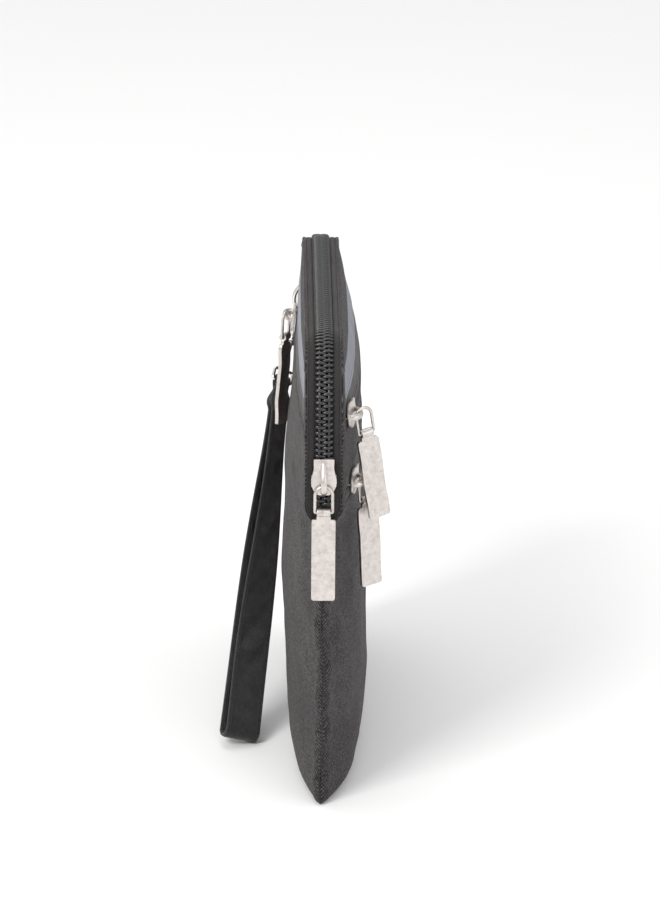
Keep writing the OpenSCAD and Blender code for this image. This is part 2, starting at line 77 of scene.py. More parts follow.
def thickness(side, z):
    k = 1 if side == BACK else 2
    zs, ts = STATIONS[:, 0], STATIONS[:, k]
    slope = np.empty(len(zs))
    slope[1:-1] = (ts[2:] - ts[:-2]) / (zs[2:] - zs[:-2])
    slope[0] = (ts[1] - ts[0]) / (zs[1] - zs[0])
    slope[-1] = (ts[-1] - ts[-2]) / (zs[-1] - zs[-2])
    i = np.clip(np.searchsorted(zs, z, side="right") - 1, 0, len(zs) - 2)
    h = zs[i + 1] - zs[i]
    t = (z - zs[i]) / h
    return (ts[i] + (ts[i + 1] - ts[i]) * t * t * (3 - 2 * t)
            + h * (t * (1 - t) ** 2 * slope[i] - t * t * (1 - t) * slope[i + 1]))


def face(side, x, z):
    x, z = np.broadcast_arrays(np.asarray(x, float), np.asarray(z, float))
    edge = SIDE_HALF + (SEAM_HALF - SIDE_HALF) * ramp(FADE, ZIP_END - 1, z)
    full = 2.5 + 0.3 * (1 - ramp(75, 100, z)) + 2.2 * (1 - ramp(0, 26, z))
    u = np.clip(np.abs(x) / half_width(z), 0, 1)
    return edge + (thickness(side, z) - edge) * (1 - u**full)


# ---------------------------------------------------------------- soft shape of the cloth
def waves(a, b, seed, length, count=8):
    """Smooth random height over two coordinates, about -1 to 1."""
    rng = np.random.default_rng(seed)
    total = 0
    for _ in range(count):
        angle = rng.uniform(0, 2 * math.pi)
        k = 2 * math.pi / (length * rng.uniform(0.7, 1.6))
        phase = rng.uniform(0, 2 * math.pi)
        total = total + np.sin(k * (a * math.cos(angle) + b * math.sin(angle)) + phase)
    return total / math.sqrt(count)


def seam_wave(z):
    """How far the side seam wanders from the middle below the zip."""
    calm = 1 - ramp(78, 92, z)
    return calm * (0.5 * np.sin(z / 9.5 + 0.6) + 0.28 * np.sin(z / 4.3))


# Soft folds: x and z of both ends, half-width, height; they run off the zip ends and corners
FOLDS = {
    FRONT: [(-70, 92, -42, 60, 3.4, 0.55), (-70, 70, -50, 34, 3.0, 0.4), (-66, 22, -30, 8, 4, 0.6),
            (66, 94, 36, 66, 4, 0.6), (62, 20, 30, 10, 4, 0.6), (-20, 96, -34, 70, 3.5, -0.4),
            (20, 98, 28, 74, 3.5, -0.4), (-40, 133, -16, 116, 4, 0.4), (44, 133, 20, 117, 4, 0.45)],
    BACK: [(-70, 95, -46, 70, 3.2, 0.5), (-69, 60, -44, 30, 3.4, 0.45), (-64, 20, -34, 9, 4, 0.5),
           (66, 98, 40, 78, 4, 0.55), (60, 24, 32, 10, 4, 0.5), (-58, 128, -34, 108, 3.2, 0.4),
           (30, 128, 8, 100, 4, -0.4)],
}


def fold_height(x, z, fold):
    x0, z0, x1, z1, width, height = fold
    dx, dz = x1 - x0, z1 - z0
    t = np.clip(((x - x0) * dx + (z - z0) * dz) / (dx * dx + dz * dz), 0, 1)
    gap = np.hypot(x - x0 - t * dx, z - z0 - t * dz)
    return height * np.exp(-((gap / width) ** 2)) * np.sin(math.pi * (0.15 + 0.85 * t))


def drape(side, x, z):
    """Outward lift of the cloth: folds, slack and puckers, calm beside zips and sliders."""
    from_edge = np.maximum(0, half_width(z) - np.abs(x))
    lift = 0.34 * waves(x, z, 11 + side, 42) + 0.13 * waves(x, z, 23 + side, 15)
    for fold in FOLDS[side]:
        lift = lift + fold_height(x, z, fold)
    calm = ramp(1.5, 9, from_edge)
    for zip_z, above, below in [UPPER_ZIP, LOWER_ZIP] if side == FRONT else [UPPER_ZIP]:
        calm = calm * np.maximum(ramp(above, above + 8, z - zip_z), ramp(below, below + 9, zip_z - z))
    calm = calm * ramp(0, 7, z) * (1 - ramp(POUCH_H - 7, POUCH_H, z))
    pucker = np.exp(-((from_edge - 2.2) / 2.6) ** 2) * ramp(5, 14, z) * (1 - ramp(84, 100, z))
    pucker = pucker * (0.2 * np.sin(z / 1.35 + 2 * np.sin(z / 11)) + 0.22 * np.sin(z / 3.1 + side))
    return lift * calm + pucker


def cloth_y(side, x, z):
    """Signed y of the draped outer face. The edges roll in to meet at the side seam."""
    from_edge = np.maximum(0, half_width(z) - np.abs(x))
    low = 1 - ramp(FADE - 4, ZIP_END, z)
    roll = low * (0.55 * np.exp(-from_edge / 0.5) - 0.35 * np.exp(-(((from_edge - 2) / 1.3) ** 2)))
    top_roll = (1 - low) * 0.3 * np.exp(-((from_edge - 1.6) / 1.2) ** 2)
    y = face(side, x, z) + drape(side, x, z) - roll + top_roll
    return side * y + seam_wave(z) * np.exp(-from_edge / 5)


# ---------------------------------------------------------------- mesh tools
class Build:
    """Collects the surfaces of one piece, in mm, with texture coordinates in mm."""

    def __init__(self):
        self.verts, self.faces, self.uvs, self.count = [], [], [], 0

    def add(self, verts, faces, uvs=None):
        verts = np.asarray(verts, float).reshape(-1, 3)
        uvs = verts[:, [0, 2]] if uvs is None else np.asarray(uvs, float).reshape(-1, 2)
        self.faces += [tuple(i + self.count for i in f) for f in faces]
        self.verts.append(verts)
        self.uvs.append(uvs)
        self.count += len(verts)
        return self

    def moved(self, turn, to):
        self.verts = [v @ np.asarray(turn).T + np.asarray(to) for v in self.verts]
        return self

    def piece(self, name, material, body, nodes=(), slot=None, smooth=True, bevel=0, segments=3):
        mesh = bpy.data.meshes.new(name)
        mesh.from_pydata((np.concatenate(self.verts) * MM).tolist(), [], self.faces)
        uvs = np.concatenate(self.uvs) / 100
        layer = mesh.uv_layers.new(name="UVMap")
        index = np.empty(len(mesh.loops), int)
        mesh.loops.foreach_get("vertex_index", index)
        layer.data.foreach_set("uv", uvs[index].ravel())
        bm = bmesh.new()
        bm.from_mesh(mesh)
        bmesh.ops.recalc_face_normals(bm, faces=bm.faces)
        bm.to_mesh(mesh)
        bm.free()
        mesh.polygons.foreach_set("use_smooth", [smooth] * len(mesh.polygons))
        obj = bpy.data.objects.new(name, mesh)
        bpy.context.scene.collection.objects.link(obj)
        mesh.materials.append(material)
        if bevel:
            edge = obj.modifiers.new("Soft edges", "BEVEL")
            edge.width, edge.segments, edge.angle_limit = bevel * MM, segments, math.radians(38)
            edge.limit_method = "ANGLE"
            obj.modifiers.new("Even shading", "WEIGHTED_NORMAL")
        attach(obj, body)
        if nodes:
            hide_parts(*nodes)
        return obj


def grid_faces(rows, cols, first=0):
    return [(first + r * cols + c, first + r * cols + c + 1,
             first + (r + 1) * cols + c + 1, first + (r + 1) * cols + c)
            for r in range(rows - 1) for c in range(cols - 1)]


def slab(outer, inner):
    """Closed sheet between two point grids of the same shape."""
    rows, cols = outer.shape[:2]
    n = rows * cols
    faces = grid_faces(rows, cols) + [f[::-1] for f in grid_faces(rows, cols, n)]
    rim = (list(range(cols)) + [r * cols + cols - 1 for r in range(1, rows)]
           + [(rows - 1) * cols + c for c in range(cols - 2, -1, -1)]
           + [r * cols for r in range(rows - 2, 0, -1)])
    faces += [(rim[i - 1], rim[i], rim[i] + n, rim[i - 1] + n) for i in range(len(rim))]
    return np.concatenate([outer.reshape(-1, 3), inner.reshape(-1, 3)]), faces


def sweep(path, radii, up, closed=False, sides=12):
    """Tube along a path. radii is one number, or pairs (along up, across) for each point."""
    path = np.asarray(path, float)
    radii = np.broadcast_to(np.asarray(radii, float).reshape(-1, 1) if np.ndim(radii) < 2
                            else np.asarray(radii, float), (len(path), 2)).copy()
    if closed:
        tangent = np.roll(path, -1, 0) - np.roll(path, 1, 0)
    else:
        tangent = np.gradient(path, axis=0)
    tangent /= np.linalg.norm(tangent, axis=1)[:, None]
    if not closed:
        rings = {}
        for end, sign in ((0, -1), (-1, 1)):
            steps = np.radians([30, 60, 86])
            rings[end] = ([path[end] + sign * tangent[end] * radii[end].mean() * math.sin(a)
                           for a in steps], [radii[end] * math.cos(a) for a in steps])
        head, tail = rings[0], rings[-1]
        path = np.vstack([head[0][::-1], path, tail[0]])
        radii = np.vstack([head[1][::-1], radii, tail[1]])
        tangent = np.vstack([[tangent[0]] * 3, tangent, [tangent[-1]] * 3])
    up = np.broadcast_to(np.asarray(up, float), path.shape)
    across = np.cross(tangent, up)
    across /= np.linalg.norm(across, axis=1)[:, None]
    rise = np.cross(across, tangent)
    angle = np.linspace(0, 2 * math.pi, sides, endpoint=False)
    ring = (path[:, None] + rise[:, None] * (radii[:, :1] * np.cos(angle))[..., None]
            + across[:, None] * (radii[:, 1:] * np.sin(angle))[..., None])
    n = len(path)
    spans = range(n) if closed else range(n - 1)
    faces = [(i * sides + j, i * sides + (j + 1) % sides,
              (i + 1) % n * sides + (j + 1) % sides, (i + 1) % n * sides + j)
             for i in spans for j in range(sides)]
    if not closed:
        faces += [tuple(range(sides))[::-1], tuple((n - 1) * sides + j for j in range(sides))]
    length = np.concatenate([[0], np.cumsum(np.linalg.norm(np.diff(path, axis=0), axis=1))])
    uv = np.stack(np.broadcast_arrays(length[:, None], angle[None] * radii.mean()), -1)
    return ring.reshape(-1, 3), faces, uv


def lathe(profile, sides=36):
    """Turned shape about Z from (radius, z) points."""
    profile = np.asarray(profile, float)
    angle = np.linspace(0, 2 * math.pi, sides, endpoint=False)
    verts = np.stack([profile[:, :1] * np.cos(angle), profile[:, :1] * np.sin(angle),
                      np.repeat(profile[:, 1:], sides, 1)], -1)
    n = len(profile)
    faces = [(i * sides + j, i * sides + (j + 1) % sides,
              (i + 1) * sides + (j + 1) % sides, (i + 1) * sides + j)
             for i in range(n - 1) for j in range(sides)]
    faces += [tuple(range(sides))[::-1], tuple((n - 1) * sides + j for j in range(sides))]
    return verts.reshape(-1, 3), faces


def block(lo, hi):
    corners = np.array([[x, y, z] for x in (lo[0], hi[0]) for y in (lo[1], hi[1])
                        for z in (lo[2], hi[2])])
    return corners, [(0, 1, 3, 2), (4, 6, 7, 5), (0, 4, 5, 1), (2, 3, 7, 6), (0, 2, 6, 4),
                     (1, 5, 7, 3)]


def resample(points, step):
    """Smooth curve through the points, as evenly spaced points."""
    points = np.asarray(points, float)
    padded = np.vstack([2 * points[0] - points[1], points, 2 * points[-1] - points[-2]])
    fine = []
    for a, b, c, d in zip(padded, padded[1:], padded[2:], padded[3:]):
        t = np.linspace(0, 1, 24, endpoint=False)[:, None]
        fine.append(0.5 * (2 * b + (c - a) * t + (2 * a - 5 * b + 4 * c - d) * t**2
                           + (3 * b - a - 3 * c + d) * t**3))
    fine = np.vstack(fine + [points[-1:]])
    along = np.concatenate([[0], np.cumsum(np.linalg.norm(np.diff(fine, axis=0), axis=1))])
    s = np.linspace(0, along[-1], max(2, int(round(along[-1] / step)) + 1))
    return np.stack([np.interp(s, along, fine[:, k]) for k in range(fine.shape[1])], -1)


def rot_z(deg):
    c, s = math.cos(math.radians(deg)), math.sin(math.radians(deg))
    return np.array([[c, -s, 0], [s, c, 0], [0, 0, 1]])


def rot_x(deg):
    c, s = math.cos(math.radians(deg)), math.sin(math.radians(deg))
    return np.array([[1, 0, 0], [0, c, -s], [0, s, c]])


def rot_y(deg):
    c, s = math.cos(math.radians(deg)), math.sin(math.radians(deg))
    return np.array([[c, 0, s], [0, 1, 0], [-s, 0, c]])


def unit(v):
    return np.asarray(v, float) / np.linalg.norm(v)


# ---------------------------------------------------------------- materials
def material(name):
    mat = bpy.data.materials.new(name)
    mat.use_nodes = True
    nodes, links = mat.node_tree.nodes, mat.node_tree.links
    shader = nodes["Principled BSDF"]
    return mat, nodes, links, shader


def socket(nodes, links, value, target):
    if hasattr(value, "links"):
        links.new(value, target)
    else:
        target.default_value = value


def maths(nodes, links, op, a, b):
    node = nodes.new("ShaderNodeMath")
    node.operation = op
    socket(nodes, links, a, node.inputs[0])
    socket(nodes, links, b, node.inputs[1])
    return node.outputs[0]


def tex_coords(nodes, links, turn=0.0, stretch=(1, 1, 1), use="UV"):
    source = nodes.new("ShaderNodeTexCoord").outputs[use]
    mapping = nodes.new("ShaderNodeMapping")
    mapping.inputs["Rotation"].default_value = (0, 0, math.radians(turn))
    mapping.inputs["Scale"].default_value = stretch
    links.new(source, mapping.inputs["Vector"])
    return mapping.outputs[0]


def stripes(nodes, links, pitch_mm, turn, wobble=0.6):
    """Even ribs across the texture plane, turned by an angle."""
    node = nodes.new("ShaderNodeTexWave")
    node.inputs["Scale"].default_value = 0.31416 / (pitch_mm / 100)
    node.inputs["Distortion"].default_value = wobble
    node.inputs["Detail"].default_value = 1.5
    node.inputs["Detail Scale"].default_value = 0.6
    links.new(tex_coords(nodes, links, turn), node.inputs["Vector"])
    return node.outputs["Fac"]


def noise(nodes, links, size_mm, detail=3.0, rough=0.55, stretch=(1, 1, 1), use="Object"):
    node = nodes.new("ShaderNodeTexNoise")
    unit_mm = 1000 if use == "Object" else 100
    node.inputs["Scale"].default_value = unit_mm / size_mm
    node.inputs["Detail"].default_value = detail
    node.inputs["Roughness"].default_value = rough
    links.new(tex_coords(nodes, links, 0, stretch, use), node.inputs["Vector"])
    return node.outputs["Fac"]


def blend_colours(nodes, links, fac, low, high):
    node = nodes.new("ShaderNodeMix")
    node.data_type = "RGBA"
    socket(nodes, links, fac, node.inputs[0])
    for value, target in ((low, node.inputs[6]), (high, node.inputs[7])):
        if hasattr(value, "links"):
            links.new(value, target)
        else:
            target.default_value = (*value, 1)
    return node.outputs[2]


def span(nodes, links, fac, low, high, at=(0.0, 1.0)):
    node = nodes.new("ShaderNodeMapRange")
    for i, value in enumerate((*at, low, high)):
        node.inputs[1 + i].default_value = value
    links.new(fac, node.inputs[0])
    return node.outputs[0]


def relief(nodes, links, shader, height, depth_mm, strength=1.0):
    node = nodes.new("ShaderNodeBump")
    node.inputs["Strength"].default_value = strength
    node.inputs["Distance"].default_value = depth_mm * MM
    links.new(height, node.inputs["Height"])
    links.new(node.outputs[0], shader.inputs["Normal"])


def woven(name, dark, light, pitch, turn, depth, sheen, rough=(0.62, 0.85), cross=0.8, worn=0.5,
          grit=0.0):
    """Cloth: ribs of yarn at one angle, crossed by finer yarn, with cloudy wear and stray fibres."""
    mat, nodes, links, shader = material(name)
    ribs = stripes(nodes, links, pitch, turn)
    yarn = stripes(nodes, links, pitch * cross, turn + 72, 0.9)
    fuzz = noise(nodes, links, 0.5, 2.0)
    height = maths(nodes, links, "MULTIPLY", ribs, span(nodes, links, yarn, 0.55, 1.0))
    height = maths(nodes, links, "ADD", height, maths(nodes, links, "MULTIPLY", fuzz, 0.35))
    cloud = noise(nodes, links, 17, 4.0, 0.6)
    tone = maths(nodes, links, "MULTIPLY", span(nodes, links, height, 0.0, 1.0, (0.1, 1.15)),
                 span(nodes, links, cloud, 1 - worn, 1.0, (0.3, 0.7)))
    if grit:
        fibre = span(nodes, links, noise(nodes, links, 0.9, 3.0, 0.7), 1 - grit, 1 + grit,
                     (0.34, 0.66))
        tone = maths(nodes, links, "POWER", maths(nodes, links, "MULTIPLY", tone, fibre), 1.3)
    links.new(blend_colours(nodes, links, tone, dark, light), shader.inputs["Base Color"])
    links.new(span(nodes, links, fuzz, *rough, (0.3, 0.7)), shader.inputs["Roughness"])
    shader.inputs["Sheen Weight"].default_value = sheen
    shader.inputs["Sheen Roughness"].default_value = 0.4
    shader.inputs["Sheen Tint"].default_value = (0.9, 0.86, 0.85, 1)
    shader.inputs["Specular IOR Level"].default_value = 0.3
    relief(nodes, links, shader, height, depth)
    return mat


def plated(name, colour, rough, grain, mottled=0.12, grain_turn=0.0):
    """Plated metal: brushed lines, soft mottling and a little dulling."""
    mat, nodes, links, shader = material(name)
    shader.inputs["Metallic"].default_value = 1.0
    brushed = noise(nodes, links, 0.35, 3.0, 0.6, (1, 0.06, 1), "UV")
    mottle = noise(nodes, links, 1.7, 5.0, 0.65)
    dull = noise(nodes, links, 6.0, 3.0, 0.5)
    darker = tuple(c * (1 - mottled * 2.2) for c in colour)
    tone = maths(nodes, links, "MULTIPLY", span(nodes, links, mottle, 0.2, 1.0, (0.32, 0.62)),
                 span(nodes, links, brushed, 0.7, 1.0, (0.3, 0.7)))
    links.new(blend_colours(nodes, links, tone, darker, colour), shader.inputs["Base Color"])
    rough_now = maths(nodes, links, "ADD", span(nodes, links, mottle, rough[0], rough[1], (0.3, 0.7)),
                      span(nodes, links, dull, 0.0, 0.08, (0.4, 0.7)))
    links.new(rough_now, shader.inputs["Roughness"])
    height = maths(nodes, links, "ADD", brushed, maths(nodes, links, "MULTIPLY", mottle, 0.8))
    relief(nodes, links, shader, height, grain)
    return mat


def moulded(name, colour, rough, coat=0.0):
    """Nylon of the zip coil, faintly streaked where it was drawn."""
    mat, nodes, links, shader = material(name)
    streak = noise(nodes, links, 0.6, 3.0, 0.6)
    lighter = tuple(min(1, c * 1.9 + 0.01) for c in colour)
    links.new(blend_colours(nodes, links, streak, colour, lighter), shader.inputs["Base Color"])
    links.new(span(nodes, links, streak, *rough, (0.3, 0.7)), shader.inputs["Roughness"])
    shader.inputs["Coat Weight"].default_value = coat
    shader.inputs["Coat Roughness"].default_value = 0.18
    relief(nodes, links, shader, streak, 0.03)
    return mat


TWILL = woven("twill_cloth", (0.004, 0.0035, 0.0038), (0.098, 0.086, 0.088), 0.8, 38, 0.22, 0.1,
              grit=1.4)
LINING = woven("lining_cloth", (0.06, 0.06, 0.065), (0.16, 0.16, 0.17), 0.4, 0, 0.05, 0.2)
BLACK_TAPE = woven("black_zip_tape", (0.006, 0.0055, 0.0055), (0.055, 0.05, 0.049), 0.62, 32, 0.16,
                   0.12)
SLATE_TAPE = woven("slate_zip_tape", (0.095, 0.105, 0.13), (0.29, 0.31, 0.36), 1.05, 90, 0.2, 0.25,
                   worn=0.3)
DARK_RIBS = woven("black_ribbed_tape", (0.012, 0.011, 0.011), (0.06, 0.056, 0.056), 1.05, 90, 0.2,
                  0.25)
STRAP = woven("strap_nylon", (0.005, 0.005, 0.0055), (0.085, 0.083, 0.087), 0.5, 45, 0.16, 0.3,
              (0.38, 0.62), grit=0.4)
THREAD = woven("thread", (0.008, 0.008, 0.008), (0.075, 0.072, 0.072), 0.35, 25, 0.08, 0.2)
BLACK_COIL = moulded("black_coil", (0.006, 0.0055, 0.006), (0.14, 0.26), 0.5)
SLATE_COIL = moulded("slate_coil", (0.09, 0.1, 0.12), (0.3, 0.45))
NICKEL = plated("satin_nickel", (0.74, 0.69, 0.66), (0.3, 0.44), 0.014, 0.17)
STEEL = plated("polished_nickel", (0.80, 0.77, 0.74), (0.12, 0.24), 0.006, 0.08)

# ---------------------------------------------------------------- panels
STEP = 1.1


def base_rows(side):
    """Heights and fold of the rows where the cloth turns under the pouch."""
    a = np.linspace(0, math.pi / 2, 14)
    return 4.5 * (1 - np.cos(a)) ** 1.25, np.sin(a) ** 0.75


def panel(name, side, z0, z1, nodes, base=False, span=(-1, 1), hems=(True, True)):
    zs = np.linspace(max(z0, 4.5) if base else z0, z1, int((z1 - z0) / STEP) + 1)
    folds = np.ones(len(zs))
    if base:
        low_z, low_fold = base_rows(side)
        zs, folds = np.concatenate([low_z[:-1], zs]), np.concatenate([low_fold[:-1], folds])
    # Columns crowd towards the outline, where the cloth rolls over
    cols = 151 if span == (-1, 1) else 13
    u = 0.45 * np.sin(np.linspace(-1, 1, cols) * math.pi / 2) + 0.55 * np.linspace(-1, 1, cols)
    u = span[0] + (span[1] - span[0]) * (u + 1) / 2
    z, fold = zs[:, None], folds[:, None]
    x = u[None] * half_width(z)
    y = cloth_y(side, x, z + 0 * x)
    hem = 0 * x
    for edge_z, inside, turned in ((z0, 1, hems[0] and z0 > 0), (z1, -1, hems[1] and z1 < POUCH_H)):
        if turned:
            away = (z - edge_z) * inside
            hem = hem + 0.28 * np.exp(-((away - 1.5) / 1.2) ** 2) - 0.25 * np.exp(-away / 0.35)
    if span != (-1, 1):
        away = np.abs(x) - ZIP_REACH * half_width(z)
        hem = hem + 0.2 * np.exp(-((away - 1.2) / 0.9) ** 2) - 0.25 * np.exp(-away / 0.35)
    y = y + side * hem
    outer = np.stack([x + 0 * z, fold * y, z + 0 * x], -1)
    reach = np.maximum(0, np.abs(y) - CLOTH * 0.9)
    inner = np.stack([x * (1 - 0.3 / half_width(z)), fold * side * reach,
                      np.maximum(z, 0.9 * (1 - fold)) + 0 * x], -1)
    inner[..., 2] = np.where(fold < 1, np.maximum(inner[..., 2], 0.7 + z * 0.8), inner[..., 2])
    along = np.concatenate([[0], np.cumsum(np.hypot(np.diff(zs), 9 * np.diff(folds)))])[:, None]
    uv = np.stack([x + 0 * z, along + zs[0] + 0 * x], -1)
    verts, faces = slab(outer, inner)
    build = Build().add(verts, faces, np.concatenate([uv.reshape(-1, 2)] * 2))
    return build.piece(name, TWILL, "pouch", nodes, "panel_twill", bevel=0.22)


def zip_top(pocket):
    return pocket[0] + pocket[1]


def zip_low(pocket):
    return pocket[0] - pocket[2]


panel("front_main_cloth", FRONT, 0, zip_low(LOWER_ZIP), ["front_main_panel"], base=True)
panel("front_middle_cloth", FRONT, zip_top(LOWER_ZIP), zip_low(UPPER_ZIP), ["front_middle_panel"])
panel("front_top_cloth", FRONT, zip_top(UPPER_ZIP), POUCH_H, ["front_top_panel"])
panel("back_main_cloth", BACK, 0, zip_low(UPPER_ZIP), ["back_main_panel"], base=True)
panel("back_top_cloth", BACK, zip_top(UPPER_ZIP), POUCH_H, ["back_top_panel"])
# Cloth beside the ends of each pocket zip
for word, side, pocket in (("front_upper", FRONT, UPPER_ZIP), ("front_lower", FRONT, LOWER_ZIP),
                           ("back", BACK, UPPER_ZIP)):
    for end, span in (("near", (-1, -ZIP_REACH)), ("far", (ZIP_REACH, 1))):
        panel(f"{word}_zip_{end}_end", side, zip_low(pocket) - 0.2, zip_top(pocket) + 0.2, [],
              span=span, hems=(False, False))


# ---------------------------------------------------------------- zip round the top
def outline_at(s):
    """Point and outward direction of the outline, s mm up from the near end of the zip."""
    s = np.asarray(s, float)
    rise, arc, top = CORNER_Z - ZIP_END, CORNER_R * math.pi / 2, 2 * CORNER_X
    a = np.clip((s - rise) / CORNER_R, 0, math.pi / 2)
    b = np.clip((s - rise - arc - top) / CORNER_R, 0, math.pi / 2)
    flat = np.clip(s - rise - arc, 0, top)
    nx = -np.cos(a) + np.sin(b)
    nz = np.sin(a) - (1 - np.cos(b))
    cx = -CORNER_X + flat
    x = cx + CORNER_R * nx
    z = CORNER_Z + CORNER_R * nz + np.minimum(s - rise, 0) - np.maximum(
        s - rise - 2 * arc - top, 0)
    return np.stack([x, 0 * x, z], -1), np.stack([nx, 0 * nx, nz], -1)


ZIP_LEN = CORNER_Z - ZIP_END + CORNER_R * math.pi + 2 * CORNER_X
TAIL = ZIP_END - FADE - 0.6


def band_half(z):
    edge = SIDE_HALF + (SEAM_HALF - SIDE_HALF) * ramp(FADE, ZIP_END - 1, z)
    return np.minimum(GUSSET_HALF, edge - CLOTH) + 0.25


def on_band(s, y, out):
    """Points of the band: s along it, y across, out from the outline's surface."""
    point, normal = outline_at(s)
    return point + normal * np.asarray(out)[..., None] + np.stack([0 * y, y, 0 * y], -1)


def band(name, side, s0, s1, mat, nodes, slot, coil=True):
    s = np.arange(s0, s1 + 0.01, 1.0)[:, None]
    t = np.linspace(0, 1, 15)[None]
    point, _ = outline_at(s[:, 0])
    half = np.where(s[:, 0] < 0, band_half(point[:, 2]), band_half(point[:, 2]))[:, None]
    y = 0.08 + (half - 0.08) * t
    over = ramp(CHAIN_HALF - 0.2, CHAIN_HALF + 0.6, y) if coil else 1.0
    sunk = -0.5 + 0.45 * over - 0.5 * np.exp(-((half - y) / 0.45) ** 2)
    ripple = 0.07 * waves(s, y * 4, 5 + side, 13) + 0.05 * np.sin(s / 1.9) * ramp(3, 4.6, y)
    s2 = np.broadcast_to(s, y.shape)
    outer = on_band(s2, side * y, sunk + ripple)
    inner = on_band(s2, side * y, sunk + ripple - 0.5)
    verts, faces = slab(outer, inner)
    uv = np.stack([s2, side * y], -1).reshape(-1, 2)
    Build().add(verts, faces, np.concatenate([uv, uv])).piece(name, mat, "pouch", nodes, slot)


band("main_zip_front_cloth", FRONT, -TAIL, ZIP_LEN, BLACK_TAPE, ["main_zip_front_tape"],
     "black_zip_tape")
band("main_zip_back_cloth", BACK, -TAIL, ZIP_LEN, BLACK_TAPE, ["main_zip_back_tape"],
     "black_zip_tape")
for side, word in ((FRONT, "front"), (BACK, "back")):
    nodes = ["far_gusset"] if side == FRONT else []
    band(f"far_gusset_{word}", side, ZIP_LEN, ZIP_LEN + CORNER_Z - FADE - 0.6, TWILL, nodes,
         "panel_twill", coil=False)

PITCH = 1.88
TOOTH = resample([[-0.5, 0.02], [-0.05, 0.42], [0.8, 0.5], [1.7, 0.5], [2.35, 0.32], [2.6, -0.2]],
                 0.42)


def teeth(name, side, node):
    build = Build()
    first = 0.4 + (PITCH / 2 if side == BACK else 0)
    thick = np.interp(np.arange(len(TOOTH)), [0, 1, 3, len(TOOTH) - 1], [0.4, 0.5, 0.6, 0.55])
    for s in np.arange(first, ZIP_LEN - 0.3, PITCH):
        lean = s + 0.34 * TOOTH[:, 0] / 2.6
        path = on_band(lean, side * TOOTH[:, 0], TOOTH[:, 1] - 0.02)
        along = outline_at(s + 0.5)[0] - outline_at(s - 0.5)[0]
        build.add(*sweep(path, np.stack([thick, thick * 0.86], -1), unit(along), sides=8))
    # The cord that the coil is wound round
    s = np.arange(0.2, ZIP_LEN - 0.2, 1.0)
    build.add(*sweep(on_band(s, side * 1.5 + 0 * s, -0.05 + 0 * s), 0.5, (0, 1, 0), sides=8))
    build.piece(name, BLACK_COIL, "pouch", [node], "black_coil")


teeth("main_zip_front_teeth", FRONT, "main_zip_front_coil")
teeth("main_zip_back_teeth", BACK, "main_zip_back_coil")


def seam_thread_and_shade(name, points, radius, up=(0, 1, 0)):
    """Sewn seam: a thin dark cord, drawn in at each stitch, that is the seam's thread and also
    painted shade filling the seam's groove.
    """
    n = np.arange(len(points))
    size = radius * (0.8 + 0.35 * np.abs(np.sin(n * 0.5 * math.pi / 1.7)))
    Build().add(*sweep(points, np.stack([size, size], -1), up, sides=8)).piece(
        name, THREAD, "pouch", slot="panel_twill")


# Dark cords along the gusset seams and the side seams: thread, and painted shade for the seam grooves
for side, word in ((FRONT, "front"), (BACK, "back")):
    s = np.arange(-TAIL + 0.5, ZIP_LEN + CORNER_Z - FADE - 1, 0.5)
    half = band_half(outline_at(s)[0][:, 2])
    seam_thread_and_shade(f"gusset_seam_thread_and_shade_{word}", on_band(s, side * (half - 0.05), -0.35 + 0 * s), 0.3)
for end, word in ((-1, "near"), (1, "far")):
    z = np.concatenate([np.arange(FADE, 7, -0.5), 7 * (1 - np.sin(np.linspace(0, 1.45, 26)))])
    x = end * (half_width(z) - 0.28)
    seam_thread_and_shade(f"side_seam_thread_and_shade_{word}", np.stack([x, seam_wave(z), z], -1), 0.3)


# ---------------------------------------------------------------- pocket zips
def zip_lip(build, side, zip_z, way, t0, t1, lift, fold_in):
    """One lip of tape: t0 to t1 mm from the opening, upwards or downwards."""
    rows = max(9, int((t1 - t0) / 0.28))
    away = t0 + (t1 - t0) * np.linspace(0, 1, rows)[:, None]
    z = zip_z + way * away
    x = np.linspace(-1, 1, 121)[None] * (ZIP_REACH * half_width(z) + 0.4)
    depth = 0.12 - lift + fold_in * np.exp(-(away - t0) / 0.28)
    depth = depth - 0.16 * np.exp(-((away - t0 - 1.1) / 0.7) ** 2) + 0.5 * ramp(t1 - 0.9, t1, away)
    ribs = 0.05 * np.sin(away * 2 * math.pi / 1.05)
    y = face(side, x, z) - depth + ribs + 0.06 * waves(x, z * 3, 31, 17)
    full = z + 0 * x
    verts, faces = slab(np.stack([x, side * y, full], -1), np.stack([x, side * (y - 0.45), full], -1))
    uv = np.stack([x, away + 0 * x], -1).reshape(-1, 2)
    build.add(verts, faces, np.concatenate([uv, uv]))


def pocket_zip(word, side, pocket, node, band_from=None):
    """Two black lips that meet at the opening; band_from starts a light band above them."""
    lips = Build()
    top = pocket[1] + 0.5 if band_from is None else band_from + 0.6
    zip_lip(lips, side, pocket[0], 1, 0.14, top, 0, 0.75)
    zip_lip(lips, side, pocket[0], -1, 0.14, pocket[2] + 0.5, 0, 0.75)
    lips.piece(f"{word}_zip_lips", DARK_RIBS, "pouch", [node], "black_zip_tape")
    if band_from is not None:
        band = Build()
        zip_lip(band, side, pocket[0], 1, band_from, pocket[1] + 0.5, 0.22, 0.4)
        band.piece(f"{word}_zip_band", SLATE_TAPE, "pouch", slot="slate_zip_tape")


BAND_FROM = 5.3
pocket_zip("front_upper", FRONT, UPPER_ZIP, "front_upper_zip_tape", BAND_FROM)
pocket_zip("back", BACK, UPPER_ZIP, "back_zip_tape", BAND_FROM)
pocket_zip("front_lower", FRONT, LOWER_ZIP, "front_lower_zip_tape")


